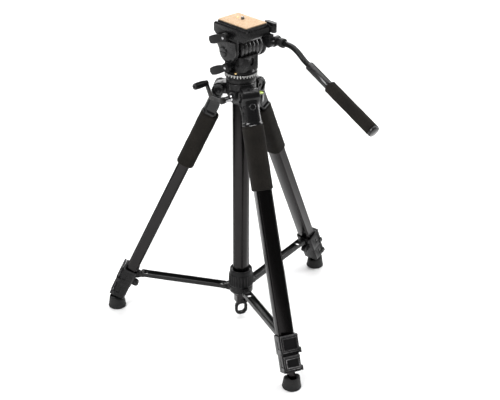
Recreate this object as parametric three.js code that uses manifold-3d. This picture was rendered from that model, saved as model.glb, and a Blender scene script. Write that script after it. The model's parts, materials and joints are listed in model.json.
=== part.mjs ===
// A video tripod with a fluid head: three telescoping legs, a mid-level spreader, a cranked
// centre column and a pan-and-tilt head with a quick-release plate and a pan handle.
// Millimetres, +Z up. The origin is on the ground, in the middle of the footprint's bounding box.
//
// Legs are built in a leg frame: origin at the crown pivot, x along the pivot pin, y inwards and
// z up the leg, so a station s millimetres down the leg is at z = -s. The head is built in a
// head frame: x towards the handle side, y towards the lens, z measured from the ground.

import * as THREE from 'three';
import { mergeVertices } from 'three/addons/utils/BufferGeometryUtils.js';
import Module from 'manifold-3d';

const wasm = await Module();
wasm.setup();

// ---- driving dimensions -------------------------------------------------------------------

const GAP = 0.3;                 // clearance between neighbouring solids

const LEGS = [['front', 0], ['right', 120], ['left', 240]];   // name and turn about Z, degrees
const LEAN = 25;                 // each leg's lean from the vertical
const PIVOT_RADIUS = 40;         // crown pivot, from the column's axis
const PIVOT_HEIGHT = 508;
const TUBE_SHIFT = 3.2;          // tube centre line, inwards of the pivot

const CASTING_END = 54;        // stations down the leg
const TUBE_1 = { start: 54.4, end: 487.5, width: 31, depth: 24, wall: 1.7 };
const TUBE_2 = { start: 140, end: 522, width: 26.5, depth: 20, wall: 1.7 };
const TUBE_3 = { start: 160, end: 525.8, width: 22, depth: 16, wall: 1.7 };
const FOAM = { start: 54.7, end: 176.5, width: 39.5, depth: 36, shift: 4 };
const LOCK_1 = { start: 453, end: 490, outer: -13.8, inner: 17, half: 18.8 };
const LOCK_2 = { start: 490.4, end: 524.4, outer: -12.8, inner: 16, half: 17.4 };
const ANKLE = 540;               // foot pivot's station
const FOOT_RADIUS_BOTTOM = 18.75;

const HUB_PIN = { radius: 34, height: 72 };
const LEG_PIN = { station: 455, inwards: 27.8 };
const STRUT = { width: 17.4, inside: 13.6, below: 3.6, above: 4.6, pin: 2 };
const LUG_WIDTH = 13;

const TUBE_RADIUS = 16.8;        // guide tube
const COLUMN_RADIUS = 13;
const CROWN_RADIUS = 28.8;
const HEAD_RADIUS = 14.5;         // round top of each leg casting
const CROWN_TOP = 527.5;
const CRANK = { turn: 202, height: 503, offset: 9, reach: 57, elbow: [-21, 501.5],
  end: [-34.5, 526.5], knob: 28 };
const LEVEL_TURN = -30;

const HEAD_TURN = 21.7;
const TILT_AXIS = { y: 2, z: 592 };
const CARTRIDGE_RADIUS = 24;
const TRAY = { x: 31, back: -46, front: 41, bottom: 617, top: 640, channel: 636.1 };
const PLATE = { x0: -26, x1: 29, y0: -43, y1: 38, z0: 636.4, z1: 642.1 };
const CORK_TOP = 644.4;
const HANDLE = { x: 43, y: -50, z: 607, slope: 26, startY: -134, startZ: 582.6 };

const lean = THREE.MathUtils.degToRad(LEAN);
const onGround = (station, inwards) => ({
  radius: PIVOT_RADIUS + station * Math.sin(lean) - inwards * Math.cos(lean),
  height: PIVOT_HEIGHT - station * Math.cos(lean) - inwards * Math.sin(lean),
});
const FOOT = onGround(ANKLE, TUBE_SHIFT);

// ---- materials ----------------------------------------------------------------------------

const paint = (color, roughness, metalness = 0) =>
  new THREE.MeshStandardMaterial({ color, roughness, metalness });
const blackPlastic = () => paint(0x1d1e20, 0.5);
const blackMetal = () => paint(0x26272a, 0.4, 0.6);
const blackTube = () => paint(0x2b2a2b, 0.35, 0.8);
const brightSteel = () => paint(0xd5d6d8, 0.2, 1);
const foam = () => paint(0x2a2725, 0.95);
const rubber = () => paint(0x141415, 0.85);
const cork = () => paint(0xe3c8a4, 0.9);
const vial = () => paint(0xc7d84a, 0.15);

// ---- shapes -------------------------------------------------------------------------------

// Closed geometry to a manifold solid, facing out.
function solid(geometry) {
  const plain = geometry.index ? geometry.toNonIndexed() : geometry.clone();
  for (const name of Object.keys(plain.attributes)) {
    if (name !== 'position') plain.deleteAttribute(name);
  }
  const merged = mergeVertices(plain, 1e-4);
  const corners = merged.index.array;
  const triangles = [];
  for (let i = 0; i < corners.length; i += 3) {
    const [a, b, c] = [corners[i], corners[i + 1], corners[i + 2]];
    if (a !== b && b !== c && c !== a) triangles.push(a, b, c);
  }
  const build = (order) => new wasm.Manifold(new wasm.Mesh({
    numProp: 3,
    vertProperties: new Float32Array(merged.attributes.position.array),
    triVerts: new Uint32Array(order),
  }));
  const made = build(triangles);
  return made.volume() < 0 ? build(triangles.reverse()) : made;
}

function geometryOf(made) {
  const { vertProperties, triVerts } = made.getMesh();
  const geometry = new THREE.BufferGeometry();
  geometry.setAttribute('position', new THREE.Float32BufferAttribute(vertProperties, 3));
  geometry.setIndex([...triVerts]);
  return geometry;
}

const combine = (method) => (first, ...others) =>
  geometryOf(others.reduce((made, other) => made[method](solid(other)), solid(first)));
const join = combine('add');
const cut = combine('subtract');
const common = combine('intersect');

const box = (x0, x1, y0, y1, z0, z1) =>
  new THREE.BoxGeometry(x1 - x0, y1 - y0, z1 - z0)
    .translate((x0 + x1) / 2, (y0 + y1) / 2, (z0 + z1) / 2);

const rodZ = (radius, z0, z1, x = 0, y = 0, sides = 24) =>
  new THREE.CylinderGeometry(radius, radius, z1 - z0, sides)
    .rotateX(Math.PI / 2).translate(x, y, (z0 + z1) / 2);

const rodX = (radius, x0, x1, y, z, sides = 16) =>
  new THREE.CylinderGeometry(radius, radius, x1 - x0, sides)
    .rotateZ(Math.PI / 2).translate((x0 + x1) / 2, y, z);

const rodY = (radius, y0, y1, x, z, sides = 16) =>
  new THREE.CylinderGeometry(radius, radius, y1 - y0, sides).translate(x, (y0 + y1) / 2, z);

// Profile of [radius, z] pairs turned about Z; it starts and ends on the axis.
const turned = (profile, sides = 32) =>
  new THREE.LatheGeometry(profile.map(([r, z]) => new THREE.Vector2(r, z)), sides)
    .rotateX(Math.PI / 2);

// A ring: a turned profile with a bore through it.
const ring = (profile, bore, sides = 32) => {
  const low = Math.min(...profile.map((point) => point[1]));
  const high = Math.max(...profile.map((point) => point[1]));
  return cut(turned(profile, sides), rodZ(bore, low - 1, high + 1, 0, 0, sides));
};

// Outline of [x, y] pairs, thick along Z from z0 to z1.
const plateZ = (outline, z0, z1) =>
  new THREE.ExtrudeGeometry(new THREE.Shape(outline.map(([x, y]) => new THREE.Vector2(x, y))),
    { depth: z1 - z0, bevelEnabled: false }).translate(0, 0, z0);

// Outline of [y, z] pairs, thick along X from x0 to x1.
const plateX = (outline, x0, x1) =>
  plateZ(outline, x0, x1).applyMatrix4(new THREE.Matrix4().makeBasis(
    new THREE.Vector3(0, 1, 0), new THREE.Vector3(0, 0, 1), new THREE.Vector3(1, 0, 0)));

// Rectangle outline with cut corners.
const chamfered = (x0, x1, y0, y1, c) => [
  [x0 + c, y0], [x1 - c, y0], [x1, y0 + c], [x1, y1 - c],
  [x1 - c, y1], [x0 + c, y1], [x0, y1 - c], [x0, y0 + c]];

// Arc of [a, b] points about a centre, from one angle to another in degrees.
const arc = (a, b, radius, from, to, steps) =>
  Array.from({ length: steps + 1 }, (_, i) => {
    const angle = THREE.MathUtils.degToRad(from + (to - from) * i / steps);
    return [a + radius * Math.cos(angle), b + radius * Math.sin(angle)];
  });

// Rectangle outline with round corners.
const rounded = (x0, x1, y0, y1, r, steps = 3) => [
  ...arc(x1 - r, y0 + r, r, -90, 0, steps), ...arc(x1 - r, y1 - r, r, 0, 90, steps),
  ...arc(x0 + r, y1 - r, r, 90, 180, steps), ...arc(x0 + r, y0 + r, r, 180, 270, steps)];

function piece(name, geometry, material) {
  const mesh = new THREE.Mesh(geometry, material);
  mesh.name = name;
  return mesh;
}

// ---- leg tubes ----------------------------------------------------------------------------

// Rectangular tube section about the tube centre line, grown by some margin.
const tubeOutline = ({ width, depth }, grow, corner) => chamfered(
  -width / 2 - grow, width / 2 + grow,
  TUBE_SHIFT - depth / 2 - grow, TUBE_SHIFT + depth / 2 + grow, corner);

const tubeBore = (tube, start, end, grow = GAP, corner = 1) =>
  plateZ(tubeOutline(tube, grow, corner), -end, -start);

// Outer section: a flat on each face and a groove down each corner.
function groovedOutline({ width, depth }) {
  const [w, d, step, groove] = [width / 2, depth / 2, 3.2, 1.3];
  const corner = (sx, sy) => [
    [sx * w, sy * (d - step)], [sx * (w - groove), sy * (d - step)],
    [sx * (w - step), sy * (d - groove)], [sx * (w - step), sy * d]];
  const points = [
    ...corner(1, 1), ...corner(-1, 1).reverse(), ...corner(-1, -1), ...corner(1, -1).reverse()];
  return points.map(([x, y]) => [x, y + TUBE_SHIFT]);
}

const hollow = (tube) => tubeBore(tube, tube.start - 1, tube.end + 1, -tube.wall, 3);

const upperTube = () =>
  cut(plateZ(groovedOutline(TUBE_1), -TUBE_1.end, -TUBE_1.start), hollow(TUBE_1));

const middleTube = () =>
  cut(plateZ(tubeOutline(TUBE_2, 0, 3), -TUBE_2.end, -TUBE_2.start), hollow(TUBE_2));

// The lowest tube is open at the top and ends in the ankle tongue that the foot turns on.
function lowerTube() {
  const tongueEnd = [...arc(TUBE_SHIFT, -ANKLE, 6.5, 180, 360, 8),
    [TUBE_SHIFT + 6.5, -TUBE_3.end + 2], [TUBE_SHIFT - 6.5, -TUBE_3.end + 2]];
  const tube = plateZ(tubeOutline(TUBE_3, 0, 3), -TUBE_3.end, -TUBE_3.start);
  const inside = tubeBore(TUBE_3, TUBE_3.start - 1, TUBE_3.end - 12, -TUBE_3.wall, 3);
  return cut(join(cut(tube, inside), plateX(tongueEnd, -6.2, 6.2)),
    rodX(2.6, -8, 8, TUBE_SHIFT, -ANKLE, 8));
}

const foamGrip = () => {
  const { width, depth, shift } = FOAM;
  const outline = rounded(-width / 2, width / 2, shift - depth / 2, shift + depth / 2, 7);
  return cut(plateZ(outline, -FOAM.end, -FOAM.start),
    tubeBore(TUBE_1, FOAM.start - 1, FOAM.end + 1));
};

// ---- leg castings, locks, levers, feet ----------------------------------------------------

// Hinged casting: a round head about the pivot pin, pocketed for the crown's lug and recessed
// on both sides, above a waisted socket.
function legCasting() {
  const front = -12.4;
  const side = [[front - 0.6, -CASTING_END], [14.2, -CASTING_END], [14.2, -30], [9.3, -9],
    [7.9, 0], [4.2, 9], ...arc(0, 0, HEAD_RADIUS, 78, 211, 8), [front, -12], [front, -49],
    [front - 0.6, -50]];
  const face = [[-18, -CASTING_END], [-18, -49], [-15.8, -46], [-15.2, -28], [-18.4, -13],
    [-18.4, HEAD_RADIUS + 1]];
  const faceOutline = [...face, ...face.map(([x, z]) => [-x, z]).reverse()];
  const faceBlock = plateX(faceOutline, -30, 30).rotateZ(-Math.PI / 2);
  const section = plateZ(chamfered(-18.4, 18.4, front - 4.2, 14.2, 3.5), -CASTING_END, 20);
  const body = common(plateX(side, -19, 19), faceBlock, section);
  const button = rodY(5.5, front - 2, front + 1, 0, -20, 12);
  const lugPocket = box(-7.8, 7.8, -9, 20, -10.5, 20);
  const recess = (x0, x1) => rodX(9.5, x0, x1, 0, 0, 14);
  return cut(join(body, button), lugPocket, recess(15.6, 20), recess(-20, -15.6),
    rodX(2.8, -25, 25, 0, 0, 8));
}

// Clamp housing around two tube sizes, with a pair of ears for its lever.
function lockHousing(lock, outer, inner, earTop, earBottom) {
  const shell = plateZ(chamfered(-lock.half, lock.half, lock.outer, lock.inner, 3),
    -lock.end, -lock.start);
  const ear = (side) => box(side > 0 ? lock.half - 1.2 : -lock.half - 1.8,
    side > 0 ? lock.half + 1.8 : -lock.half + 1.2, lock.outer - 4, lock.outer + 5,
    -earBottom, -earTop);
  const middle = (lock.start + lock.end) / 2;
  const sideSlot = (x0, x1) => join(box(x0, x1, -0.8, 1.2, -middle - 7, -middle + 7),
    box(x0, x1, -5.5, 1.2, -middle - 7, -middle - 5));
  return cut(join(shell, ear(1), ear(-1)),
    tubeBore(outer, lock.start - 1, lock.end - 2),
    tubeBore(inner, lock.end - 3, lock.end + 1),
    sideSlot(lock.half - 1.3, lock.half + 3), sideSlot(-lock.half - 3, -lock.half + 1.3));
}

// The upper lock carries the spreader's lug and a clamp screw boss on its inner face.
function upperLock() {
  const { station, inwards } = LEG_PIN;
  const lug = plateX([[16, -470], [22, -467], ...arc(inwards, -station, 5.6, -60, 175, 9),
    [16, -454.5]], -LUG_WIDTH / 2, LUG_WIDTH / 2);
  const boss = join(box(-5, 5, 16, 24, -489.2, -476.7), rodX(6, -5, 5, 23.5, -483.2, 12));
  return cut(join(lockHousing(LOCK_1, TUBE_1, TUBE_2, 479, 489), lug, boss),
    rodX(STRUT.pin + GAP, -9, 9, inwards, -station, 8));
}

const lowerLock = () => lockHousing(LOCK_2, TUBE_2, TUBE_3, 513.5, 523);

// Flip lever: a plate with a raised frame and a finger roll along its upper edge.
function lockLever(lock, top, bottom) {
  const half = lock.half - 1.5;
  const face = lock.outer - GAP;
  const plate = box(-half, half, face - 3.2, face, -bottom, -top);
  const frame = cut(box(-half + 2.5, half - 2.5, face - 4.6, face - 2, -bottom + 4, -top - 3),
    box(-half + 5, half - 5, face - 6, face - 3.6, -bottom + 6.5, -top - 5.5));
  return join(plate, frame, rodX(2.4, -half, half, face - 2.4, -top, 10));
}

const upperLever = () => lockLever(LOCK_1, 454.5, 485.5);
const lowerLever = () => lockLever(LOCK_2, 494.5, 519.5);

// Rubber foot about its own pivot, upright: a cup with two cheeks, a slot and a cross pin.
function foot() {
  const ground = -FOOT.height;
  const cup = turned([[0, ground], [17.6, ground], [FOOT_RADIUS_BOTTOM, ground + 1.8],
    [18.2, ground + 5.5], [15.9, 6.6], [15, 7.6], [0, 7.6]], 20);
  const cheeks = rodX(8.4, -13, 13, 0, 0, 14);
  const slot = box(-6.6, 6.6, -22, 22, -1.5, 14);
  const pocket = rodX(8.6, -6.6, 6.6, 0, 0, 14);
  return join(cut(join(cup, cheeks), slot, pocket), rodX(2.2, -13.6, 13.6, 0, 0, 8));
}

// ---- spreader -----------------------------------------------------------------------------

// Channel strut between the hub pin and the leg pin, along +y from the hub pin, open upwards.
function strut(length) {
  const half = STRUT.width / 2;
  const wall = (half - STRUT.inside / 2);
  const side = [...arc(0, 0, 4.6, 90, 270, 5), [6, -STRUT.below], [length - 6, -STRUT.below],
    ...arc(length, 0, 5, -90, 90, 5), [length - 12, STRUT.above], [12, STRUT.above]];
  const edge = (x) => plateX(side, x, x + wall);
  const web = box(-half, half, 9.5, length - 9.5, -STRUT.below, -STRUT.below + 1.8);
  const rib = box(-1.2, 1.2, 14, length - 14, -STRUT.below, -STRUT.below + 3.4);
  const pin = (y) => rodX(STRUT.pin, -half - 0.8, half + 0.8, y, 0, 8);
  return join(web, edge(-half), edge(half - wall), rib, pin(0), pin(length));
}

// Sliding hub: a sleeve on the guide tube with three lugs for the struts.
function hub() {
  const sleeve = turned([[0, 63], [22, 63], [24.5, 66], [24.5, 79.4], [20.4, 79.4], [20.4, 114],
    [0, 114]], 24);
  const lugs = LEGS.map(([, turn]) => {
    const { radius, height } = HUB_PIN;
    const outline = [[-20, 64.5], [-26, 64.5], ...arc(-radius, height, 4.2, 250, 90, 5),
      [-26, 79], [-20, 79]];
    return cut(plateX(outline, -LUG_WIDTH / 2, LUG_WIDTH / 2),
      rodX(STRUT.pin + GAP, -9, 9, -radius, height, 8))
      .rotateZ(THREE.MathUtils.degToRad(turn));
  });
  return cut(join(sleeve, ...lugs), rodZ(TUBE_RADIUS + GAP, 50, 130, 0, 0, 24));
}

const collar = () => ring([[0, 79.8], [24.6, 79.8], [25.6, 81], [24.9, 103], [24, 105.5],
  [23, 106], [23, 115.4], [22, 116.4], [0, 116.4]], 20.8, 24);

// ---- crown, guide tube, column, crank -----------------------------------------------------

// One leg's share of the crown: a cap over the casting's round head, and the pivot pin pressed
// through a lug between the head's cheeks.
function crownLobe() {
  const [y, z] = [-PIVOT_RADIUS, PIVOT_HEIGHT];
  const arch = plateX([...arc(y, z, HEAD_RADIUS + 2, 130, 62, 5),
    ...arc(y, z, HEAD_RADIUS + 0.5, 60, 132, 5)], -19, 19);
  const outline = plateZ([[-12, -24], [-16.5, -60], [16.5, -60], [12, -24]], 500, 540);
  const lug = plateX([[-24, 500], ...arc(y, z, 7.8, 270, 90, 6), [-38, 519], [-24, 519]],
    -7.4, 7.4);
  const root = box(-12, 12, -34, -20, 522.8, 524.8);
  return join(common(arch, outline), root, lug, rodX(2.5, -17.2, 17.2, y, z, 8));
}

function crown() {
  const turn = (geometry, degrees) => geometry.rotateZ(THREE.MathUtils.degToRad(degrees));
  const drum = turned([[0, 484], [19.4, 484], [19.4, 487], [24, 493], [CROWN_RADIUS, 503],
    [CROWN_RADIUS, CROWN_TOP - 1], [CROWN_RADIUS - 1, CROWN_TOP], [0, CROWN_TOP]], 24);
  const { height, offset } = CRANK;
  const gearCase = turn(box(16, 33, offset - 8, offset + 8, height - 10, height + 11), CRANK.turn);
  const levelBoss = turn(common(box(20, 44, -10, 10, 488, 503),
    rodZ(44, 480, 510, 0, 0, 24)), LEVEL_TURN);
  const lobes = LEGS.map(([, degrees]) => turn(crownLobe(), degrees));
  const body = join(drum, gearCase, levelBoss, ...lobes);
  const shaftBore = turn(rodX(3.9, 19.5, 40, offset, height, 14), CRANK.turn);
  const vialSeat = turn(rodZ(6.3, 501, 505, 37, 0, 14), LEVEL_TURN);
  return cut(body, rodZ(COLUMN_RADIUS + 0.5, 480, 540, 0, 0, 20),
    rodZ(TUBE_RADIUS + GAP, 480, 495.4, 0, 0, 24), shaftBore, vialSeat);
}

// Tube that the column runs in, with the end block that the ballast hook hangs from.
function guideTube() {
  const tube = rodZ(TUBE_RADIUS, 57, 495, 0, 0, 24);
  const block = plateZ(chamfered(-12, 12, -12, 12, 3), 37, 58);
  const hookSlot = box(-5.5, 5.5, -20, 20, 30, 48);
  const pin = rodX(1.8, -8, 8, 0, 42, 10);
  return join(cut(join(tube, block), rodZ(COLUMN_RADIUS + 0.6, 62, 500, 0, 0, 20), hookSlot), pin);
}

const centreColumn = () => cut(rodZ(COLUMN_RADIUS, 80, 528, 0, 0, 20),
  rodZ(COLUMN_RADIUS - 1.5, 70, 522, 0, 0, 20));

// Ballast hook: a round-ended closed loop on a stem that swings in the end block.
const hook = () => cut(join(
  plateZ(rounded(-13, 13, -15.5, 15.5, 11, 4), -3, 3).rotateX(Math.PI / 2).translate(0, 0, 20.5),
  plateX([...arc(0, 42, 4.3, 0, 180, 8), [-3, 34], [3, 34]], -5, 5)),
  plateZ(rounded(-8, 8, -9.5, 9.5, 6, 3), -6, 6).rotateX(Math.PI / 2).translate(0, 0, 20.5),
  rodX(2.1, -8, 8, 0, 42, 10));

// Crank in its own frame: x outwards along the shaft, y across, z up.
function crank() {
  const { height, offset, reach, elbow, end, knob } = CRANK;
  const bar = ([y0, z0], [y1, z1]) => {
    const length = Math.hypot(y1 - y0, z1 - z0);
    return box(reach - 2, reach + 2, 0, length, -4, 4)
      .rotateX(Math.atan2(z1 - z0, y1 - y0)).translate(0, y0, z0);
  };
  return join(rodX(3.5, 20.2, reach, offset, height, 14),
    rodX(6.5, reach - 5, reach + 2.6, offset, height, 14),
    bar([offset, height], elbow), bar(elbow, end), rodX(4.5, reach - 2, reach + 2, ...elbow, 12),
    rodX(5.2, reach - 2, reach + 2, ...end, 14),
    rodX(2.2, reach, reach + knob, ...end, 10));
}

function crankKnob() {
  const { reach, end, knob } = CRANK;
  const profile = [[0, 0], [5.4, 0], [6.6, 2], [6.9, knob * 0.6], [6.2, knob - 2], [5, knob],
    [0, knob]];
  return cut(turned(profile, 14).rotateY(Math.PI / 2), rodX(2.6, -1, 50, 0, 0, 10))
    .translate(reach + 2.4, ...end);
}

const crownLevel = () => rodZ(6, 501.3, 504.3, 37, 0, 14);

// ---- head ---------------------------------------------------------------------------------

const headBase = () => turned([[0, 528.3], [28, 528.3], [28.8, 529], [28.8, 537.6], [8, 537.6],
  [8, 557], [0, 557]], 24);

const degreeRing = () => ring([[0, 538], [31, 538], [31.6, 538.8], [31.6, 546.2],
  [30.8, 547.2], [0, 547.2]], 8.4, 24);

// Panning body: a flared foot, a square neck and a saddle under the drag cartridge.
function headBody() {
  const { y, z } = TILT_AXIS;
  const flare = turned([[0, 547.6], [29, 547.6], [29, 549.6], [24, 556], [0, 556]], 24);
  const neck = plateZ(chamfered(-23, 25, -25, 25, 5), 552, 581);
  const recess = plateZ(rounded(-5, 5, -7.5, 7.5, 4.5, 3), 0, 8)
    .rotateX(Math.PI / 2).translate(4.5, -22, 569);
  return cut(join(flare, neck), rodX(CARTRIDGE_RADIUS + 0.4, -18.4, 40, y, z, 24),
    rodZ(8.4, 540, 557.5, 0, 0, 24), recess);
}

// Drag cartridge along the tilt axis, with cooling-fin ribs.
function cartridge() {
  const { y, z } = TILT_AXIS;
  const [start, length, ribs] = [-18, 56.6, 6];
  const pitch = length / ribs;
  const profile = [[0, 0]];
  for (let i = 0; i < ribs; i += 1) {
    const low = i * pitch;
    profile.push([CARTRIDGE_RADIUS, low], [CARTRIDGE_RADIUS, low + pitch * 0.6],
      [CARTRIDGE_RADIUS - 3, low + pitch * 0.8]);
  }
  profile.push([CARTRIDGE_RADIUS, length], [0, length]);
  return cut(turned(profile, 20).rotateY(Math.PI / 2), rodX(5.4, -1, length + 1, 0, 0, 12))
    .translate(start, y, z);
}

const tiltAxle = () => rodX(5, -24, 38.7, TILT_AXIS.y, TILT_AXIS.z, 12);

// D-shaped cheek outline about the tilt axis, flat on top.
const cheekOutline = (radius, top, back, front) => {
  const { y, z } = TILT_AXIS;
  return [...arc(y, z, radius, 180, 360, 10), [front, z + 8], [front, top], [back, top],
    [back, z + 8]];
};

// Tilting platform: the plate tray, a cheek on each side and the handle's rosette boss.
function platform() {
  const { y, z } = TILT_AXIS;
  const { x, back, front, bottom, top } = TRAY;
  const tray = common(
    plateX([[back + 2, top], [back, top - 3], [back, bottom + 6], [back + 6, bottom],
      [front - 6, bottom], [front, bottom + 6], [front, top - 3], [front - 2, top]], -x, x),
    plateX([[-x + 2, top], [-x, top - 3], [-x, bottom], [x, bottom], [x, top]], -60, 60)
      .rotateZ(-Math.PI / 2));
  const leftCheek = plateX(cheekOutline(22.5, 620, -20, 28), -29.7, -24.3);
  const rightCheek = join(rodX(25, 39, 45, y, z, 24), box(39, 45, -18, 22, 600, 623));
  const shelf = box(30, 45, -30, 22, 617, 623);
  const boss = join(rodX(8, 20, 33.6, HANDLE.y, HANDLE.z, 16),
    box(20, 31, HANDLE.y - 5, HANDLE.y + 14, HANDLE.z, 624));
  const body = join(tray, leftCheek, rightCheek, shelf, boss);
  const channel = box(PLATE.x0 - 0.4, PLATE.x1 + 0.4, -60, 60, TRAY.channel, 650);
  return cut(body, channel, rodX(3.4, -40, -20, 0, 617 + 4, 12));
}

function sideCover() {
  const { y, z } = TILT_AXIS;
  const cover = plateX(cheekOutline(22, 611, -19, 29), -33.8, -30);
  const plug = rodX(8.5, -36, -33, y + 9, z - 3, 20);
  const slot = box(-37, -34.8, y, y + 18, z - 4.2, z - 1.8);
  return cut(join(cover, plug), slot);
}

// Lever knob on the head's left side: hub, tapering wing and stem, pointing along +y.
function wingKnob(y, z, tipY, tipZ, stemEnd) {
  const angle = Math.atan2(tipZ - z, tipY - y);
  const length = Math.hypot(tipY - y, tipZ - z);
  const wing = plateX([[0, -6.5], [length - 3, -3], [length, 0], [length - 3, 3], [0, 6.5]],
    -44, -38.5).rotateX(angle).translate(0, y, z);
  return join(rodX(8.5, -45.5, -36.6, y, z, 20), wing, rodX(3, -37, stemEnd, y, z, 12));
}

const tiltKnob = () => wingKnob(0, 621, 41, 606, -24);
const panKnob = () => wingKnob(-5, 564, 39, 544, -23.4);

function releasePlate() {
  const { x0, x1, y0, y1, z0, z1 } = PLATE;
  return cut(plateZ(chamfered(x0, x1, y0, y1, 3), z0, z1),
    rodZ(8.6, z0 - 1, z0 + 3.6, 7, 3, 20), rodZ(3.6, z0, z1 + 1, 7, 3, 16));
}

const corkPad = () => cut(plateZ(rounded(-24, 27, -40.5, 36.5, 2), PLATE.z1 + GAP, CORK_TOP),
  rodZ(3.6, 640, 650, 7, 3, 16));

const cameraScrew = () => join(rodZ(7.8, PLATE.z0 + GAP, PLATE.z0 + 3, 7, 3, 20),
  rodZ(3.1, PLATE.z0 + 1, CORK_TOP + 4.6, 7, 3, 16));

const releaseLever = () => join(
  plateZ(chamfered(31.4, 42.5, -54, 2, 3), 625, 637),
  plateZ(chamfered(33, 42.5, -54, -26, 3), 636, 643));

function handleClamp() {
  const { x, y, z } = HANDLE;
  return join(rodX(9.5, 34, 49, y, z, 18), rodY(7.5, y - 21, y - 4, x, z, 16),
    rodY(9, y - 20, y - 12, x, z, 18));
}

// Bent tube from the clamp down to the straight part of the handle.
function handleArm() {
  const { x, y, z, startY, startZ } = HANDLE;
  const points = [[y - 21.4, z], [y - 34, z], [y - 44, z - 2], [y - 56, z - 7.5],
    [startY + 12, startZ + 6], [startY, startZ]];
  const path = new THREE.CatmullRomCurve3(points.map(([py, pz]) =>
    new THREE.Vector3(x, py, pz)));
  const section = new THREE.Shape(arc(0, 0, 5.5, 0, 324, 9).map(([a, b]) =>
    new THREE.Vector2(a, b)));
  return geometryOf(solid(new THREE.ExtrudeGeometry(section,
    { steps: 12, bevelEnabled: false, extrudePath: path })));
}

// Straight part of the handle, in its own frame with z along it: sleeve, core and end cap.
const handleCore = () => join(
  turned([[0, 0.4], [7.5, 0.4], [8.5, 2], [8.5, 57], [6, 58], [6, 176], [0, 176]], 20),
  turned([[0, 175.5], [11.6, 175.5], [12, 177], [11, 181.5], [0, 182.5]], 20));

const handleGrip = () => cut(turned([[0, 58.5], [10.5, 58.5], [12, 61], [12, 172.5], [11, 175.2],
  [0, 175.2]], 20), rodZ(6.3, 50, 190, 0, 0, 20));

// ---- assembly -----------------------------------------------------------------------------

function leg(name, turn) {
  const place = new THREE.Group();
  place.rotation.z = THREE.MathUtils.degToRad(turn);

  const frame = new THREE.Group();
  frame.position.set(0, -PIVOT_RADIUS, PIVOT_HEIGHT);
  frame.rotation.x = -lean;
  frame.add(
    piece(`${name}_leg_casting`, legCasting(), blackPlastic()),
    piece(`${name}_foam_grip`, foamGrip(), foam()),
    piece(`${name}_upper_tube`, upperTube(), blackTube()),
    piece(`${name}_upper_lock`, upperLock(), blackPlastic()),
    piece(`${name}_upper_lever`, upperLever(), blackPlastic()),
    piece(`${name}_middle_tube`, middleTube(), blackTube()),
    piece(`${name}_lower_lock`, lowerLock(), blackPlastic()),
    piece(`${name}_lower_lever`, lowerLever(), blackPlastic()),
    piece(`${name}_lower_tube`, lowerTube(), blackTube()));

  const shoe = piece(`${name}_foot`, foot(), rubber());
  shoe.position.set(0, TUBE_SHIFT, -ANKLE);
  shoe.rotation.x = lean;
  frame.add(shoe);

  const legPin = onGround(LEG_PIN.station, LEG_PIN.inwards);
  const run = legPin.radius - HUB_PIN.radius;
  const rise = legPin.height - HUB_PIN.height;
  const bar = piece(`${name}_strut`, strut(Math.hypot(run, rise)), blackMetal());
  bar.position.set(0, -HUB_PIN.radius, HUB_PIN.height);
  bar.rotation.set(Math.atan2(rise, run), 0, Math.PI, 'ZYX');

  place.add(frame, bar);
  return place;
}

function spine() {
  const group = new THREE.Group();
  const handleFrame = new THREE.Group();
  handleFrame.rotation.z = THREE.MathUtils.degToRad(CRANK.turn);
  handleFrame.add(piece('crank', crank(), blackMetal()),
    piece('crank_knob', crankKnob(), blackPlastic()));
  const level = piece('crown_level', crownLevel(), vial());
  level.rotation.z = THREE.MathUtils.degToRad(LEVEL_TURN);
  group.add(
    piece('crown', crown(), blackPlastic()),
    piece('guide_tube', guideTube(), blackMetal()),
    piece('center_column', centreColumn(), blackTube()),
    piece('spreader_hub', hub(), blackPlastic()),
    piece('spreader_collar', collar(), blackPlastic()),
    piece('ballast_hook', hook(), blackPlastic()),
    handleFrame, level);
  return group;
}

function head() {
  const group = new THREE.Group();
  group.rotation.z = THREE.MathUtils.degToRad(HEAD_TURN);
  const straight = new THREE.Group();
  straight.position.set(HANDLE.x, HANDLE.startY, HANDLE.startZ);
  straight.rotation.x = Math.PI / 2 + THREE.MathUtils.degToRad(HANDLE.slope);
  straight.add(piece('handle_core', handleCore(), blackMetal()),
    piece('handle_grip', handleGrip(), foam()));
  group.add(
    piece('head_base', headBase(), blackMetal()),
    piece('degree_ring', degreeRing(), blackPlastic()),
    piece('head_body', headBody(), blackMetal()),
    piece('drag_cartridge', cartridge(), blackMetal()),
    piece('pan_knob', panKnob(), blackPlastic()),
    piece('tilt_axle', tiltAxle(), brightSteel()),
    piece('tilt_platform', platform(), blackMetal()),
    piece('side_cover', sideCover(), blackPlastic()),
    piece('tilt_knob', tiltKnob(), blackPlastic()),
    piece('release_plate', releasePlate(), blackMetal()),
    piece('cork_pad', corkPad(), cork()),
    piece('camera_screw', cameraScrew(), brightSteel()),
    piece('release_lever', releaseLever(), blackPlastic()),
    piece('handle_clamp', handleClamp(), blackPlastic()),
    piece('handle_arm', handleArm(), blackMetal()),
    straight);
  return group;
}

const tripod = new THREE.Group();
tripod.position.y = FOOT.radius / 4;     // centres the footprint's bounding box on the origin
tripod.add(...LEGS.map(([name, turn]) => leg(name, turn)), spine(), head());

export default tripod;
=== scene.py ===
"""Black video tripod with a fluid head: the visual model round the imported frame, with its light and camera.

Lengths are in metres, and a number times MM is in millimetres. Places and directions come from the
frame's joints, boxes and vertices.
"""
import json
import math

import bmesh
import bpy
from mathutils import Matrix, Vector
from mathutils.bvhtree import BVHTree


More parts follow.
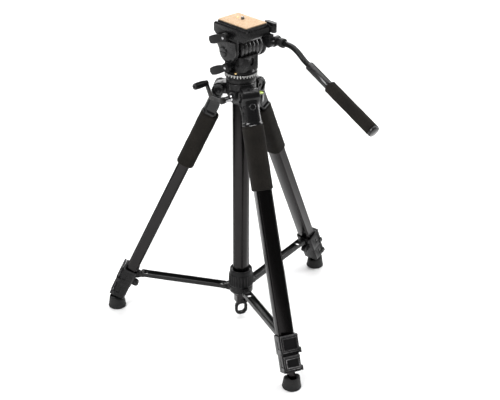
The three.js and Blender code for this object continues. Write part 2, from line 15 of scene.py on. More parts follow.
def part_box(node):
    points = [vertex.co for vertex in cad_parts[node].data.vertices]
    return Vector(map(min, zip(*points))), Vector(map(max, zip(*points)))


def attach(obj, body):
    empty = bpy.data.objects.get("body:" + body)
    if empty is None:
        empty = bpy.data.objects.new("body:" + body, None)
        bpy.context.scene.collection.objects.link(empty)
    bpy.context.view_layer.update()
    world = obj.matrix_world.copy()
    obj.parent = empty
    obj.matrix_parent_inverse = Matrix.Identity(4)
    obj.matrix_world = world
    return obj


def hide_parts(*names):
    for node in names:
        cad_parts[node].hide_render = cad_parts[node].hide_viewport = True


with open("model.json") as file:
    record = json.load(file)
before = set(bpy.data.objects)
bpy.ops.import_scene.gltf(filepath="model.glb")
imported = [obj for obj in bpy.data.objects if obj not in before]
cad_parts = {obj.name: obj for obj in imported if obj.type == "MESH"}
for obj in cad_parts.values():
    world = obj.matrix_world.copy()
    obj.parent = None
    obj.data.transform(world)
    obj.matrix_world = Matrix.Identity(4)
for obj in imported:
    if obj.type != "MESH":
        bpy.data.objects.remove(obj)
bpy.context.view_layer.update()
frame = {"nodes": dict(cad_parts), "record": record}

RECORD = frame["record"]
NODES = frame["nodes"]
BODY_OF = {n: b for b, members in RECORD["behaviour"]["bodies"].items() for n in members}
JOINTS = {j["name"]: j for j in RECORD["behaviour"]["joints"]}
SLOT_OF = {s["node"]: s["material_slot"] for s in RECORD["subparts"]}
LEGS = ("front", "right", "left")
MM = 0.001
UP = Vector((0, 0, 1))


# ---------------------------------------------------------------- materials


class Look:
    """A Principled material with short ways to add noise, bump and colour variation."""

    def __init__(self, name, color, roughness, metallic=0.0, specular=0.5):
        self.mat = bpy.data.materials.new(name)
        self.mat.use_nodes = True
        self.tree = self.mat.node_tree
        self.bsdf = self.tree.nodes["Principled BSDF"]
        self.bsdf.inputs["Base Color"].default_value = (*color, 1)
        self.bsdf.inputs["Roughness"].default_value = roughness
        self.bsdf.inputs["Metallic"].default_value = metallic
        self.bsdf.inputs["Specular IOR Level"].default_value = specular
        self.mat.diffuse_color = (*color, 1)
        self.coords = self.node("ShaderNodeTexCoord").outputs["Object"]
        self.normal = None

    def node(self, kind, **settings):
        made = self.tree.nodes.new(kind)
        for key, value in settings.items():
            setattr(made, key, value)
        return made

    def link(self, a, b):
        self.tree.links.new(a, b)

    def constant(self, socket, value):
        """A value that is the same all over the surface, on the shader's own socket."""
        self.bsdf.inputs[socket].default_value = value

    def stretched(self, scale):
        """The object's coordinates, scaled by a different amount along each axis."""
        mapping = self.node("ShaderNodeMapping")
        mapping.inputs["Scale"].default_value = scale
        self.link(self.coords, mapping.inputs["Vector"])
        return mapping.outputs["Vector"]

    def noise(self, scale, detail=3.0, rough=0.5, vector=None):
        made = self.node("ShaderNodeTexNoise")
        made.inputs["Scale"].default_value = scale
        made.inputs["Detail"].default_value = detail
        made.inputs["Roughness"].default_value = rough
        self.link(vector or self.coords, made.inputs["Vector"])
        return made.outputs["Fac"]

    def cells(self, scale, output="Distance"):
        """Voronoi cells: the distance from each one's middle, or a colour of its own for each."""
        made = self.node("ShaderNodeTexVoronoi", feature="F1")
        made.inputs["Scale"].default_value = scale
        self.link(self.coords, made.inputs["Vector"])
        return made.outputs[output]

    def ramp(self, value, *stops):
        """value as a colour. Each stop is a place with a colour or a grey."""
        made = self.node("ShaderNodeValToRGB")
        band = made.color_ramp
        while len(band.elements) < len(stops):
            band.elements.new(0.5)
        for element, (place, color) in zip(band.elements, stops):
            element.position = place
            element.color = (*color, 1) if hasattr(color, "__len__") else (color, color, color, 1)
        self.link(value, made.inputs["Fac"])
        return made.outputs["Color"]

    def mix(self, factor, a, b, blend="MIX"):
        made = self.node("ShaderNodeMix", data_type="RGBA", blend_type=blend)
        for socket, value in ((made.inputs[0], factor), (made.inputs[6], a), (made.inputs[7], b)):
            if isinstance(value, bpy.types.NodeSocket):
                self.link(value, socket)
            elif hasattr(value, "__len__"):
                socket.default_value = (*value, 1)
            else:
                socket.default_value = value
        return made.outputs[2]

    def color(self, value):
        self.link(value, self.bsdf.inputs["Base Color"])

    def roughness(self, value, low, high):
        """The shader's roughness, from low to high as value goes from 0 to 1."""
        span = self.node("ShaderNodeMapRange")
        span.inputs["To Min"].default_value = low
        span.inputs["To Max"].default_value = high
        self.link(value, span.inputs["Value"])
        self.link(span.outputs["Result"], self.bsdf.inputs["Roughness"])

    def bump(self, height, strength, depth):
        """One more layer of relief, depth metres deep, on top of the layers before it."""
        made = self.node("ShaderNodeBump")
        made.inputs["Strength"].default_value = strength
        made.inputs["Distance"].default_value = depth
        self.link(height, made.inputs["Height"])
        if self.normal:
            self.link(self.normal, made.inputs["Normal"])
        self.normal = made.outputs["Normal"]
        self.link(self.normal, self.bsdf.inputs["Normal"])

    def edge_wear_and_highlight(self, base, edge, low=0.53, high=0.62):
        """base, turning to edge along the outer edges, broken up by noise: edge wear, and where edge is bright,
        as on the levers, a painted highlight.
        """
        geometry = self.node("ShaderNodeNewGeometry")
        rim = self.ramp(geometry.outputs["Pointiness"], (low, 0.0), (high, 1.0))
        broken = self.ramp(self.noise(240, 4), (0.35, 0.15), (0.7, 1.0))
        amount = self.mix(1.0, rim, broken, "MULTIPLY")
        return self.mix(amount, base, edge)


def moulded(name, tone, roughness, grain=1500, strength=0.22, edge=0.07, specular=0.17):
    """Black moulded plastic, cloudy, with a fine grain and paler edges: worn at a small edge value, and a
    painted highlight at the large value the levers get.
    """
    look = Look(name, (tone, tone, tone * 1.06), roughness, specular=specular)
    dark = (tone * 0.88, tone * 0.88, tone * 0.93)
    pale = (tone * 1.14, tone * 1.12, tone * 1.18)
    cloud = look.ramp(look.noise(22, 3), (0.3, dark), (0.72, pale))
    look.color(look.edge_wear_and_highlight(cloud, (edge, edge * 0.98, edge)))
    look.roughness(look.noise(520, 4), roughness - 0.05, roughness + 0.07)
    look.bump(look.noise(grain, 2), strength, 0.00012)
    return look.mat


def anodised(name, tone, roughness):
    """Black anodised aluminium tube."""
    look = Look(name, (tone * 1.06, tone, tone), roughness, 1.0)
    dark = (tone * 0.86, tone * 0.82, tone * 0.83)
    pale = (tone * 1.22, tone * 1.14, tone * 1.15)
    look.color(look.mix(look.noise(26, 3), dark, pale))
    look.roughness(look.noise(420, 4), roughness - 0.07, roughness + 0.1)
    look.bump(look.noise(2400, 2), 0.1, 0.00006)
    return look.mat


def painted(name, tone, roughness):
    """Black painted steel, with bare metal showing a little along its edges."""
    look = Look(name, (tone, tone, tone * 1.05), roughness, specular=0.2)
    look.constant("Coat Weight", 0.12)
    look.constant("Coat Roughness", 0.16)
    base = look.ramp(look.noise(45, 3), (0.3, (tone * 0.85,) * 3), (0.75, (tone * 1.3,) * 3))
    look.color(look.edge_wear_and_highlight(base, (0.11, 0.105, 0.1), 0.55, 0.66))
    look.roughness(look.noise(160, 4), roughness - 0.06, roughness + 0.1)
    look.bump(look.noise(700, 3), 0.14, 0.00012)
    return look.mat


def foam_look(name):
    """Dark foam with open cells."""
    look = Look(name, (0.014, 0.013, 0.012), 0.88, specular=0.12)
    dark, pale = (0.0075, 0.0066, 0.0058), (0.0175, 0.0155, 0.0135)
    tint = look.ramp(look.cells(1150, "Color"), (0.1, dark), (0.9, pale))
    patch = look.ramp(look.noise(30, 4), (0.3, (0.8, 0.8, 0.8)), (0.75, (1.25, 1.22, 1.18)))
    look.color(look.mix(1.0, tint, patch, "MULTIPLY"))
    look.constant("Sheen Weight", 0.02)
    look.constant("Sheen Roughness", 0.5)
    look.roughness(look.noise(300, 4), 0.8, 0.96)
    look.bump(look.cells(1150), 0.55, 0.0003)
    look.bump(look.noise(380, 4), 0.35, 0.0004)
    return look.mat


def rubber_look(name):
    """Dull black rubber with some dust on it."""
    look = Look(name, (0.014, 0.014, 0.015), 0.62, specular=0.3)
    dust = look.ramp(look.noise(120, 5), (0.45, 0.0), (0.75, 0.5))
    look.color(look.mix(dust, (0.009, 0.009, 0.0095), (0.024, 0.023, 0.022)))
    look.roughness(look.noise(200, 4), 0.52, 0.78)
    look.bump(look.noise(900, 3), 0.3, 0.0002)
    return look.mat


def plated(name, color, roughness):
    """Plated or bare metal with faint turning marks."""
    look = Look(name, color, roughness, 1.0)
    look.roughness(look.noise(500, 4), max(0.03, roughness - 0.06), roughness + 0.1)
    look.bump(look.noise(60, 2, vector=look.stretched((1, 1, 14))), 0.05, 0.0001)
    return look.mat


def cork_look(name):
    """Pressed cork: grains of four browns with dark flecks between them."""
    look = Look(name, (0.75, 0.53, 0.36), 0.86)
    tint = look.ramp(look.cells(620, "Color"), (0.0, (0.45, 0.28, 0.16)), (0.35, (0.56, 0.38, 0.235)),
                     (0.7, (0.62, 0.45, 0.295)), (1.0, (0.66, 0.5, 0.345)))
    flecks = look.ramp(look.noise(430, 5, 0.65), (0.28, (0.34, 0.19, 0.1)), (0.4, (1, 1, 1)))
    look.color(look.mix(0.75, tint, flecks, "MULTIPLY"))
    look.roughness(look.noise(500, 3), 0.76, 0.94)
    look.bump(look.cells(620), 0.4, 0.0003)
    look.bump(look.noise(900, 3), 0.3, 0.0002)
    return look.mat


def plain_paint(name, color, roughness):
    """Printed paint, a little uneven."""
    look = Look(name, color, roughness)
    look.color(look.mix(look.noise(700, 3), tuple(c * 0.82 for c in color), color))
    look.roughness(look.noise(500, 3), roughness - 0.08, roughness + 0.1)
    return look.mat


def liquid(name, color):
    """The bright liquid of a bubble level, under its glossy window, with a faint painted glow in its own colour.
    """
    look = Look(name, color, 0.08)
    look.constant("Coat Weight", 1.0)
    look.constant("Coat Roughness", 0.03)
    # Painted glow: the liquid gives off a little light of its own colour.
    look.constant("Emission Strength", 0.12)
    look.constant("Emission Color", (*color, 1))
    look.color(look.mix(look.noise(400, 2), tuple(c * 0.8 for c in color), color))
    return look.mat


PLASTIC = moulded("moulded_plastic", 0.005, 0.25)
PLASTIC_GLOSS = moulded("gloss_moulding", 0.006, 0.2, grain=900, strength=0.12, edge=0.1, specular=0.36)
PLASTIC_MATT = moulded("moulded_plastic_matt", 0.0055, 0.4, grain=1100, strength=0.35)
# The levers' much paler edges are a painted highlight along their frames, not wear.
PLASTIC_EDGE_HIGHLIGHT = moulded("moulded_plastic_painted_edge_highlight", 0.007, 0.3, strength=0.2, edge=0.3)
TUBE = anodised("black_anodised", 0.025, 0.22)
STEEL_BLACK = painted("black_paint", 0.007, 0.32)
STEEL_GLOSS = painted("black_gloss_paint", 0.007, 0.16)
FOAM = foam_look("dark_foam")
RUBBER = rubber_look("rubber")
BRIGHT = plated("bright_plating", (0.5, 0.5, 0.51), 0.2)
DARK_STEEL = plated("dark_plating", (0.2, 0.19, 0.18), 0.25)
BRASS = plated("brass", (0.85, 0.6, 0.27), 0.24)
CORK = cork_look("cork")
WHITE = plain_paint("white_marking", (0.82, 0.82, 0.8), 0.5)
VIAL_PAINTED_GLOW = liquid("level_liquid_painted_glow", (0.62, 0.8, 0.06))

LOOK_OF_SLOT = {
    "black_plastic": PLASTIC, "black_tube": TUBE, "black_steel": STEEL_BLACK, "bright_steel": BRIGHT,
    "foam": FOAM, "rubber": RUBBER, "cork": CORK, "vial": VIAL_PAINTED_GLOW,
}
LOOK_OF_NODE = {
    "handle_arm": STEEL_GLOSS, "handle_core": PLASTIC_GLOSS, "drag_cartridge": PLASTIC_GLOSS,
    "side_cover": PLASTIC_GLOSS, "crown": PLASTIC_GLOSS, "crank": STEEL_GLOSS, "camera_screw": DARK_STEEL,
}
# The levers get the plastic whose pale edges are a painted highlight.
for leg in LEGS:
    for lever in ("upper_lever", "lower_lever"):
        LOOK_OF_NODE[f"{leg}_{lever}"] = PLASTIC_EDGE_HIGHLIGHT


# ---------------------------------------------------------------- small tools


def turns(count, shift=0.0):
    """The angles of one full turn, in equal steps."""
    return [2 * math.pi * (i + shift) / count for i in range(count)]


def signed_power(value, power):
    return math.copysign(abs(value) ** power, value)


def across_of(axis):
    """Two directions, square to axis and to each other."""
    side = axis.orthogonal().normalized()
    return side, axis.cross(side)


def circle(centre, a, b, radius, count):
    """A closed ring of points round centre, in the plane of a and b."""
    return [centre + (a * math.cos(t) + b * math.sin(t)) * radius for t in turns(count)]


def vertices(node):
    return [p.co.copy() for p in NODES[node].data.vertices]


def joint_line(joint):
    """A joint's place and its direction."""
    return Vector(JOINTS[joint]["pos_m"]), Vector(JOINTS[joint]["axis"]).normalized()


def turned_box(node, along, side):
    """(side, across, along), low, high: the node's box in axes turned to along and side."""
    w = along.normalized()
    u = (side - w * side.dot(w)).normalized()
    v = w.cross(u)
    points = vertices(node)
    low = Vector([min(p.dot(a) for p in points) for a in (u, v, w)])
    high = Vector([max(p.dot(a) for p in points) for a in (u, v, w)])
    return (u, v, w), low, high


def distance_from(axis, point):
    return (point - axis * point.dot(axis)).length


def joined(bm, first, second):
    """Faces from one row of vertices to the next."""
    count = len(first)
    for j in range(count):
        k = (j + 1) % count
        bm.faces.new((first[j], first[k], second[k], second[j]))


def lofted(rings):
    """A new bmesh that skins closed rings one to the next, and the last back to the first."""
    bm = bmesh.new()
    rows = [[bm.verts.new(p) for p in ring] for ring in rings]
    for i, row in enumerate(rows):
        joined(bm, row, rows[(i + 1) % len(rows)])
    return bm


def capped(rings):
    """A new bmesh that skins closed rings one to the next, with a face over each end."""
    bm = bmesh.new()
    rows = [[bm.verts.new(p) for p in ring] for ring in rings]
    for first, second in zip(rows, rows[1:]):
        joined(bm, first, second)
    bm.faces.new(rows[0])
    bm.faces.new(rows[-1])
    return bm


def finish_piece(bm, name, body, material, smooth):
    """The bmesh as an object that rides on a body, shaded smooth up to an angle in degrees."""
    bmesh.ops.recalc_face_normals(bm, faces=bm.faces)
    for face in bm.faces:
        face.smooth = True
    for edge in bm.edges:
        edge.smooth = len(edge.link_faces) == 2 and edge.calc_face_angle(0) < math.radians(smooth)
    mesh = bpy.data.meshes.new(name)
    bm.to_mesh(mesh)
    bm.free()
    mesh.materials.append(material)
    obj = bpy.data.objects.new(name, mesh)
    bpy.context.scene.collection.objects.link(obj)
    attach(obj, body)
    return obj


# ---------------------------------------------------------------- the carried-over pieces

REBUILT = {f"{leg}_{part}" for leg in LEGS for part in ("foam_grip", "leg_casting", "foot")}
REBUILT |= {"degree_ring", "handle_grip", "spreader_collar", "crank_knob", "pan_knob", "tilt_knob"}
EDGE = 0.4
LEVER_EDGE = 0.7
EDGE_OF_NODE = {
    "camera_screw": 0.15, "tilt_axle": 0.2, "cork_pad": 0.25, "crown_level": 0.3, "drag_cartridge": 0.35,
    "head_body": 0.6, "crown": 0.7, "ballast_hook": 0.8,
}
BEVEL_ABOVE = 32.0
FLAT_BELOW = 0.6


def welded(obj):
    """Joins the vertices that a CAD mesh has double."""
    weld = obj.modifiers.new("weld", "WELD")
    weld.merge_threshold = 1e-6


def refined(node, width):
    """Rounds a CAD node's hard edges by width, in millimetres, and gives it its surface."""
    obj = NODES[node]
    for face in obj.data.polygons:
        face.use_smooth = True
    welded(obj)
    flat = obj.modifiers.new("flat", "DECIMATE")
    flat.decimate_type = "DISSOLVE"
    flat.angle_limit = math.radians(FLAT_BELOW)
    bevel = obj.modifiers.new("edges", "BEVEL")
    bevel.width = width * MM
    bevel.segments = 2
    bevel.limit_method = "ANGLE"
    bevel.angle_limit = math.radians(BEVEL_ABOVE)
    bevel.harden_normals = True
    bevel.use_clamp_overlap = True
    obj.data.materials.clear()
    obj.data.materials.append(LOOK_OF_NODE.get(node, LOOK_OF_SLOT[SLOT_OF[node]]))


for node in NODES:
    if node not in REBUILT:
        refined(node, LEVER_EDGE if node.endswith("_lever") else EDGE_OF_NODE.get(node, EDGE))


# ---------------------------------------------------------------- foam grips


def rounded_rectangle(half_u, half_v, power, count=56):
    """Points of a superellipse round the origin: an ellipse at power 2, and squarer above it."""
    return [(half_u * signed_power(math.cos(a), 2 / power), half_v * signed_power(math.sin(a), 2 / power))
            for a in turns(count, 0.5)]


def foam_sleeve(name, node, along, side, body, inner, power, round_end, ripple):
    """A foam sleeve in the room of a CAD node. inner is the half size of its bore, and round_end the
    radius of its rims. Its sides sink by up to ripple."""
    (u, v, w), low, high = turned_box(node, along, side)
    middle = u * (low.x + high.x) / 2 + v * (low.y + high.y) / 2
    half_u, half_v = (high.x - low.x) / 2, (high.y - low.y) / 2
    rim_steps, side_steps = 6, 26
    outline = []
    for i in range(rim_steps + 1):
        a = math.pi / 2 * (1 - i / rim_steps)
        outline.append((low.z + round_end * (1 - math.sin(a)), round_end * (1 - math.cos(a))))
    far_rim = [(low.z + high.z - z, inset) for z, inset in reversed(outline)]
    for i in range(1, side_steps):
        t = i / side_steps
        wave = (1 + math.sin(t * 19.0 + 1.3) * math.sin(t * 7.0 + 0.4)) / 2
        outline.append((low.z + round_end + (high.z - low.z - 2 * round_end) * t, ripple * wave))
    outline += far_rim
    rings = []
    for z, inset in outline:
        section = rounded_rectangle(half_u - inset, half_v - inset, power)
        rings.append([middle + u * a + v * b + w * z for a, b in section])
    bore = rounded_rectangle(*inner, power + 1.5)
    for z in (high.z, low.z):
        rings.append([middle + u * a + v * b + w * z for a, b in bore])
    obj = finish_piece(lofted(rings), name, body, FOAM, 40)
    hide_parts(node)


def leg_grip(leg):
    down = Vector(JOINTS[f"{leg}_middle_slide"]["axis"])
    across = Vector(JOINTS[f"{leg}_foot_tilt"]["axis"])
    _, low, high = turned_box(f"{leg}_upper_tube", down, across)
    gap = 0.35 * MM
    inner = ((high.x - low.x) / 2 + gap, (high.y - low.y) / 2 + gap)
    foam_sleeve(f"{leg}_foam_sleeve", f"{leg}_foam_grip", down, across, f"{leg}_leg", inner,
                power=2.9, round_end=3.2 * MM, ripple=0.5 * MM)


def handle_grip():
    """The handle's foam, round the direction in which its CAD node's vertices spread most."""
    points = vertices("handle_grip")
    centre = sum(points, Vector()) / len(points)
    run = Vector((0.3, 0.2, -0.4))
    for _ in range(60):
        run = sum(((p - centre) * (p - centre).dot(run) for p in points), Vector()).normalized()
    bore = min(distance_from(run, p - centre) for p in points)
    side = Vector(JOINTS["handle_fold"]["axis"])
    foam_sleeve("handle_foam_sleeve", "handle_grip", run, side, "handle", (bore, bore),
                power=2.0, round_end=2.2 * MM, ripple=0.35 * MM)


for leg in LEGS:
    leg_grip(leg)
handle_grip()


# ---------------------------------------------------------------- cast and moulded pieces with soft edges


def molten(node, name, voxel, warp, material, passes=3):
    """A copy of a CAD node, moved point by point by warp and then melted, in place of the node."""
    holder = bpy.data.objects.new(name, NODES[node].data.copy())
    bpy.context.scene.collection.objects.link(holder)
    welded(holder)
    remesh = holder.modifiers.new("remesh", "REMESH")
    remesh.mode = "VOXEL"
    remesh.voxel_size = voxel * MM
    fine = bpy.data.meshes.new_from_object(holder.evaluated_get(bpy.context.evaluated_depsgraph_get()))
    bpy.data.objects.remove(holder)
    fine.materials.clear()
    bm = bmesh.new()
    bm.from_mesh(fine)
    for p in bm.verts:
        p.co = warp(p.co)
    for _ in range(passes):
        bmesh.ops.smooth_vert(bm, verts=bm.verts, factor=0.5, use_axis_x=True, use_axis_y=True, use_axis_z=True)
    obj = finish_piece(bm, name, BODY_OF[node], material, 70)
    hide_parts(node)


def soft_casting(leg):
    """The cast shoulder, its socket rounded at the front."""
    node = f"{leg}_leg_casting"
    down = Vector(JOINTS[f"{leg}_middle_slide"]["axis"])
    across = Vector(JOINTS[f"{leg}_foot_tilt"]["axis"])
    (u, v, _), low, high = turned_box(node, down, across)
    inward = v if v.z < 0 else -v
    pivot, _ = joint_line(f"{leg}_casting_swing")
    half = (high.x - low.x) / 2
    start, blend, front = 4 * MM, 12 * MM, 9 * MM
    set_back = 8.5 * MM

    def rounded_front(co):
        q = co - pivot
        side, depth, drop = q.dot(u), q.dot(inward), q.dot(down)
        if depth >= 0 or drop <= start:
            return co
        below = min(1.0, (drop - start) / blend)
        outward = min(1.0, -depth / front)
        return co + inward * (set_back * below * outward * abs(side / half) ** 2.2)

    molten(node, f"{leg}_casting_shell", 0.62, rounded_front, PLASTIC_GLOSS)


def soft_knob(node):
    """A paddle knob, its wing made wider and fuller towards the tip."""
    hub, inwards = joint_line(f"{node}_turn")
    out = -inwards
    flat = [(p - hub) - out * (p - hub).dot(out) for p in vertices(node)]
    reach = max(q.length for q in flat)
    wing = sum((q for q in flat if q.length > reach * 0.97), Vector()).normalized()
    across = out.cross(wing)
    root, plinth, middle = 5 * MM, 1.5 * MM, 5.2 * MM
    widening, fullness = 1.25, 0.9 * MM

    def fuller(co):
        q = co - hub
        along, wide, thick = q.dot(wing), q.dot(across), q.dot(out)
        if along < root or thick < plinth:
            return co
        t = min(1.0, (along - root) / (reach - root))
        swell = widening * math.sin(min(1.0, t * 1.15) * math.pi / 2) ** 1.5
        puff = fullness * math.sin(math.pi * t)
        return co + across * (wide * swell) + out * (puff if thick > middle else -puff)

    molten(node, f"{node}_shell", 0.55, fuller, PLASTIC_MATT)


for leg in LEGS:
    soft_casting(leg)
for knob in ("pan_knob", "tilt_knob"):
    soft_knob(knob)


# ---------------------------------------------------------------- turned pieces


def turned(name, node, origin, axis, profile, bore, material, count, ribs=1, depth=0.0):
    """A turned piece with a bore, in place of a CAD node. Its profile is rows of height, radius and
    how much of depth its ribs have there."""
    side, other = across_of(axis)
    rings = []
    for height, radius, cut in profile:
        ring = []
        for a in turns(count):
            groove = max(0.0, math.cos(a * ribs)) ** 0.6 if cut else 0.0
            r = radius - depth * cut * (1 - groove)
            ring.append(origin + axis * height + (side * math.cos(a) + other * math.sin(a)) * r)
        rings.append(ring)
    for height in (profile[-1][0], profile[0][0]):
        rings.append(circle(origin + axis * height, side, other, bore, count))
    obj = finish_piece(lofted(rings), name, BODY_OF[node], material, 50)
    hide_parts(node)


def scaled(profile, tall, wide):
    """A profile in shares of a height and a radius, in metres."""
    return [(height * tall, radius * wide, cut) for height, radius, cut in profile]


COLLAR = ((0, 0.94, 0), (0.02, 0.975, 0), (0.08, 0.985, 0), (0.13, 1, 1), (0.4, 0.985, 1), (0.62, 0.97, 1),
          (0.67, 0.955, 0.4), (0.7, 0.94, 0), (0.73, 0.905, 0), (0.75, 0.9, 0), (0.94, 0.895, 0),
          (0.98, 0.88, 0), (1, 0.86, 0))
CRANK_KNOB = ((0, 0.74, 0), (0.03, 0.82, 0), (0.09, 0.88, 0.5), (0.14, 0.92, 1), (0.5, 1, 1),
              (0.84, 0.96, 1), (0.9, 0.92, 0.4), (0.95, 0.86, 0), (1, 0.7, 0))


def upright(node):
    """The foot of a round node's upright axis, with its height, outer radius and bore."""
    low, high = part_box(node)
    foot = Vector(((low.x + high.x) / 2, (low.y + high.y) / 2, low.z))
    bore = min((p.xy - foot.xy).length for p in vertices(node))
    return foot, high.z - low.z, (high.x - low.x) / 2, bore


def collar():
    foot, tall, wide, bore = upright("spreader_collar")
    turned("collar_ribbed", "spreader_collar", foot, UP, scaled(COLLAR, tall, wide), bore, PLASTIC_MATT,
           count=208, ribs=26, depth=1.5 * MM)


def crank_knob():
    origin, axis = joint_line("crank_knob_spin")
    points = [p - origin for p in vertices("crank_knob")]
    start = min(p.dot(axis) for p in points)
    end = max(p.dot(axis) for p in points)
    wide = max(distance_from(axis, p) for p in points)
    bore = min(distance_from(axis, p) for p in points)
    turned("crank_knob_ribbed", "crank_knob", origin + axis * start, axis,
           scaled(CRANK_KNOB, end - start, wide), bore, PLASTIC_MATT, count=108, ribs=9, depth=1.1 * MM)


def degree_ring():
    """The ring under the head, its rims rounded. Each step is a height and how far in it lies."""
    foot, tall, radius, bore = upright("degree_ring")
    rising = ((0, 0.7), (0.15, 0.35), (0.5, 0.05), (0.9, 0))
    falling = ((1.2, 0), (0.6, 0.25), (0.2, 0.6), (0, 1.1))
    profile = [(height * MM, radius - inset * MM, 0) for height, inset in rising]
    profile += [(tall - depth * MM, radius - inset * MM, 0) for depth, inset in falling]
    turned("degree_ring_turned", "degree_ring", foot, UP, profile, bore, PLASTIC, count=120)


def ring_markings():
    """White strokes round the ring, long and short in turn."""
    foot, tall, radius, _ = upright("degree_ring")
    marks = 64
    top = foot + UP * (tall - 0.9 * MM)
    long_mark, short_mark = (0.62 * MM, 5.4 * MM), (0.42 * MM, 2.8 * MM)
    buried, proud = -0.25 * MM, 0.05 * MM
    bm = bmesh.new()
    for i, angle in enumerate(turns(marks)):
        out = Vector((math.cos(angle), math.sin(angle), 0))
        turn = Vector((-out.y, out.x, 0))
        half, height = short_mark if i % 2 else long_mark
        corners = []
        for depth in (buried, proud):
            for t, z in ((-half, 0), (half, 0), (half, -height), (-half, -height)):
                corners.append(bm.verts.new(top + out * (radius + depth) + turn * t + UP * z))
        a, b, c, d, e, f, g, h = corners
        for quad in ((a, b, c, d), (h, g, f, e), (a, e, f, b), (b, f, g, c), (c, g, h, d), (d, h, e, a)):
            bm.faces.new(quad)
    finish_piece(bm, "ring_markings", BODY_OF["degree_ring"], WHITE, 35)


def crank_sleeve():
    """The bright collar and washer on the crank's shaft, as heights along it and radii."""
    origin, axis = joint_line("crank_turn")
    side, other = across_of(axis)
    profile = ((34.2, 4.4), (34.2, 6.2), (34.8, 6.7), (37.4, 6.7), (38, 6.1), (38.6, 5.5), (46.6, 5.5),
               (47.2, 5.9), (50.4, 5.9), (51.2, 5.3), (51.2, 4.4))
    rings = [circle(origin + axis * height * MM, side, other, radius * MM, 40) for height, radius in profile]
    finish_piece(lofted(rings), "crank_shaft_sleeve", "crank", BRIGHT, 35)


collar()
crank_knob()
crank_sleeve()
degree_ring()
ring_markings()


# ---------------------------------------------------------------- feet

BELL_RADIUS = 18.6
BELL_TALL = 24.55
BELL_OVER_PIN = 7.4
BELL = ((0.3, 0.0), (0.86, 0.0), (0.93, 0.25), (0.975, 0.9), (1.0, 2.2), (0.992, 4.0), (0.972, 5.2),
        (0.958, 5.6), (0.952, 6.4), (0.935, 9.0), (0.905, 13.0), (0.872, 17.5), (0.853, 20.5),
        (0.842, 22.4), (0.822, 23.6), (0.79, 24.3), (0.75, BELL_TALL))
WELL_TOP = 7.3
WELL = ((8.6, 13.6, WELL_TOP), (7.6, 13.4, 6.4), (7.3, 13.0, 2.0), (7.2, 11.8, -4.0), (7.1, 9.8, -7.4),
        (5.4, 7.0, -9.6))
RIM_DIP = 6.2
DIP_FROM = 15
PIN = ((-13.4, 1.2), (-13.0, 2.0), (13.0, 2.0), (13.4, 1.2))


def dip(a):
    """How far the rim is lowered on the inner side, where the leg leans over it."""
    return RIM_DIP * max(0.0, -math.sin(a)) ** 1.2


def bell_foot(leg):
    """The rubber foot: a bell, with an oval well that the ankle stands in, and the cross pin's ends.

    BELL's rows are a share of the radius and a height over the floor. WELL's are half the width, half
    the depth and a height over the pin."""
    node = f"{leg}_foot"
    pin, across = joint_line(f"{leg}_foot_tilt")
    out = Vector((across.y, -across.x, 0))
    floor_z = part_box(node)[0].z
    stretch = (pin.z + BELL_OVER_PIN * MM - floor_z) / BELL_TALL
    angles = turns(64)
    rings = []
    for share, height in BELL:
        lowered = max(0.0, (height - DIP_FROM) / (BELL_TALL - DIP_FROM))
        rings.append([pin + (across * math.cos(a) + out * math.sin(a)) * (BELL_RADIUS * MM * share)
                      + UP * (floor_z + height * stretch - pin.z - dip(a) * MM * lowered) for a in angles])
    for side, depth, height in WELL:
        lowered = max(0.0, height / WELL_TOP)
        rings.append([pin + across * (side * MM * signed_power(math.cos(a), 0.6))
                      + out * (depth * MM * signed_power(math.sin(a), 0.7))
                      + UP * ((height - dip(a) * lowered) * MM) for a in angles])
    foot = finish_piece(capped(rings), f"{leg}_foot_bell", BODY_OF[node], RUBBER, 40)
    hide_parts(node)
    rod = capped([circle(pin + across * (x * MM), UP, out, r * MM, 20) for x, r in PIN])
    finish_piece(rod, f"{leg}_foot_pin", BODY_OF[node], DARK_STEEL, 40)


for leg in LEGS:
    bell_foot(leg)


# ---------------------------------------------------------------- small fittings


def bolt_head(name, body, centre, axis, radius, height, material, sides=28, dome=0.35):
    """A low domed round head standing on centre along axis."""
    axis = axis.normalized()
    side, other = across_of(axis)
    profile = ((radius, 0.0), (radius, height * (1 - dome)), (radius * 0.93, height * (1 - dome * 0.45)),
               (radius * 0.75, height * 0.96), (radius * 0.4, height))
    bm = bmesh.new()
    foot = bm.verts.new(centre)
    rows = []
    for r, h in profile:
        rows.append([bm.verts.new(p) for p in circle(centre + axis * h, side, other, r, sides)])
    crest = bm.verts.new(centre + axis * height)
    for first, second in zip(rows, rows[1:]):
        joined(bm, first, second)
    for j in range(sides):
        k = (j + 1) % sides
        bm.faces.new((foot, rows[0][k], rows[0][j]))
        bm.faces.new((rows[-1][j], rows[-1][k], crest))
    finish_piece(bm, name, body, material, 30)


def surface_point(node, origin, direction):
    """Where a straight line first meets a CAD node."""
    bm = bmesh.new()
    bm.from_mesh(NODES[node].data)
    hit = BVHTree.FromBMesh(bm).ray_cast(origin, direction)[0]
    bm.free()
    return hit


def knob_screw(knob):
    """The bright screw in the middle of a knob, found from 100 mm outside it."""
    place, axis = joint_line(f"{knob}_turn")
    hit = surface_point(knob, place - axis * 100 * MM, axis)
    bolt_head(f"{knob}_screw", BODY_OF[knob], hit + axis * 0.3 * MM, -axis, 2.6 * MM, 1.3 * MM, BRIGHT)


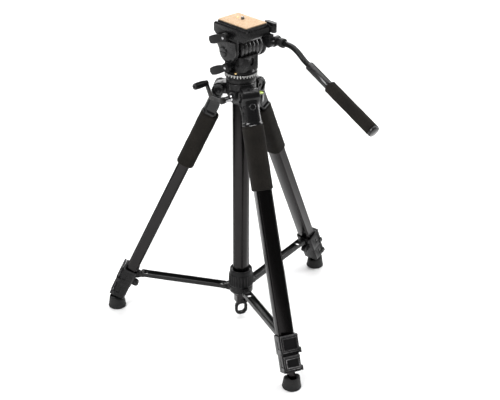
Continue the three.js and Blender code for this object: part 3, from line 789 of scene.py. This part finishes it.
def cover_plug_rim():
    """The raised rim of the round plug on the side cover, as radii and heights over the plug's face."""
    face = min((p - TILT_PIN).dot(HEAD_X) for p in vertices("side_cover"))
    plug = TILT_PIN + HEAD_Y * 9 * MM - UP * 3 * MM
    sunk = 2.2
    profile = ((10.3, -0.3), (10.3, 0.4), (9.9, 0.8), (9.3, 0.8), (8.9, 0.4), (8.9, -0.3))
    rings = [circle(plug + HEAD_X * (face + (sunk - height) * MM), HEAD_Y, UP, radius * MM, 56)
             for radius, height in profile]
    finish_piece(lofted(rings), "cover_plug_rim", BODY_OF["side_cover"], STEEL_GLOSS, 35)


def plate_pin():
    """The small brass pin beside the camera screw, standing in the cork."""
    screw = joint_line("screw_turn")[0]
    cork_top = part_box("cork_pad")[1].z
    place = Vector((screw.x, screw.y, cork_top - 0.4 * MM)) + HEAD_Y * 13 * MM
    bolt_head("plate_pin", BODY_OF["cork_pad"], place, UP, 1.9 * MM, 1.5 * MM, BRASS)


def head_vial():
    """The small brass vial on the head's foot, set where a line from over it meets the head's body."""
    post = joint_line("head_pan")[0]
    above = post - HEAD_X * 24.8 * MM - HEAD_Y * 12.5 * MM
    above.z = 555.5 * MM
    hit = surface_point("head_body", above, -UP)
    bolt_head("head_vial", "pan_head", hit - UP * 1.0 * MM, Vector((-0.25, -0.25, 1)), 2.9 * MM, 2.2 * MM, BRASS)


TILT_PIN, HEAD_X = joint_line("head_tilt")
HEAD_Y = Vector((-HEAD_X.y, HEAD_X.x, 0))
knob_screw("tilt_knob")
knob_screw("pan_knob")
cover_plug_rim()
plate_pin()
head_vial()


# ---------------------------------------------------------------- floor, light and camera


def pale_floor():
    bm = bmesh.new()
    bmesh.ops.create_grid(bm, x_segments=8, y_segments=8, size=9)
    mesh = bpy.data.meshes.new("floor")
    bm.to_mesh(mesh)
    bm.free()
    look = Look("pale_floor", (0.93, 0.93, 0.93), 0.7)
    look.color(look.mix(look.noise(3, 2), (0.925, 0.925, 0.925), (0.935, 0.935, 0.935)))
    mesh.materials.append(look.mat)
    floor = bpy.data.objects.new("floor", mesh)
    floor.location.z = -0.2 * MM
    bpy.context.scene.collection.objects.link(floor)


def softbox(name, place, size, power):
    """A rectangular light that faces the middle of the tripod."""
    target = Vector((0, 0, 0.33))
    data = bpy.data.lights.new(name, "AREA")
    data.shape = "RECTANGLE"
    data.size, data.size_y = size
    data.energy = power
    light = bpy.data.objects.new(name, data)
    light.location = place
    light.rotation_euler = (target - Vector(place)).to_track_quat("-Z", "Y").to_euler()
    bpy.context.scene.collection.objects.link(light)


def lights():
    world = bpy.data.worlds.new("studio")
    bpy.context.scene.world = world
    world.use_nodes = True
    background = world.node_tree.nodes["Background"]
    background.inputs["Color"].default_value = (1, 1, 1, 1)
    background.inputs["Strength"].default_value = 0.12
    softbox("key", (-1.7, -0.9, 1.9), (0.6, 1.3), 46)
    softbox("side", (1.9, 0.1, 1.1), (0.5, 1.6), 26)
    softbox("rim", (0.4, 1.8, 1.5), (1.6, 0.9), 20)
    sky = bpy.data.objects.new("sky", bpy.data.lights.new("sky", "SUN"))
    sky.data.energy = 2.5
    sky.data.angle = math.radians(70)
    sky.rotation_euler = (math.radians(-12), math.radians(8), 0)
    bpy.context.scene.collection.objects.link(sky)


def photo_camera():
    """The photograph's view, fitted to the three feet, the column and the head."""
    camera = bpy.data.objects.new("camera", bpy.data.cameras.new("camera"))
    camera.data.lens = 84.3
    camera.data.sensor_width = 36
    camera.data.shift_x = 0.0179
    camera.location = (-0.7496, -1.8565, 1.3438)
    camera.rotation_euler = (math.radians(62.55), 0, math.radians(-21.3))
    bpy.context.scene.collection.objects.link(camera)
    bpy.context.scene.camera = camera
    bpy.context.scene.view_settings.view_transform = "Standard"


pale_floor()
lights()
photo_camera()
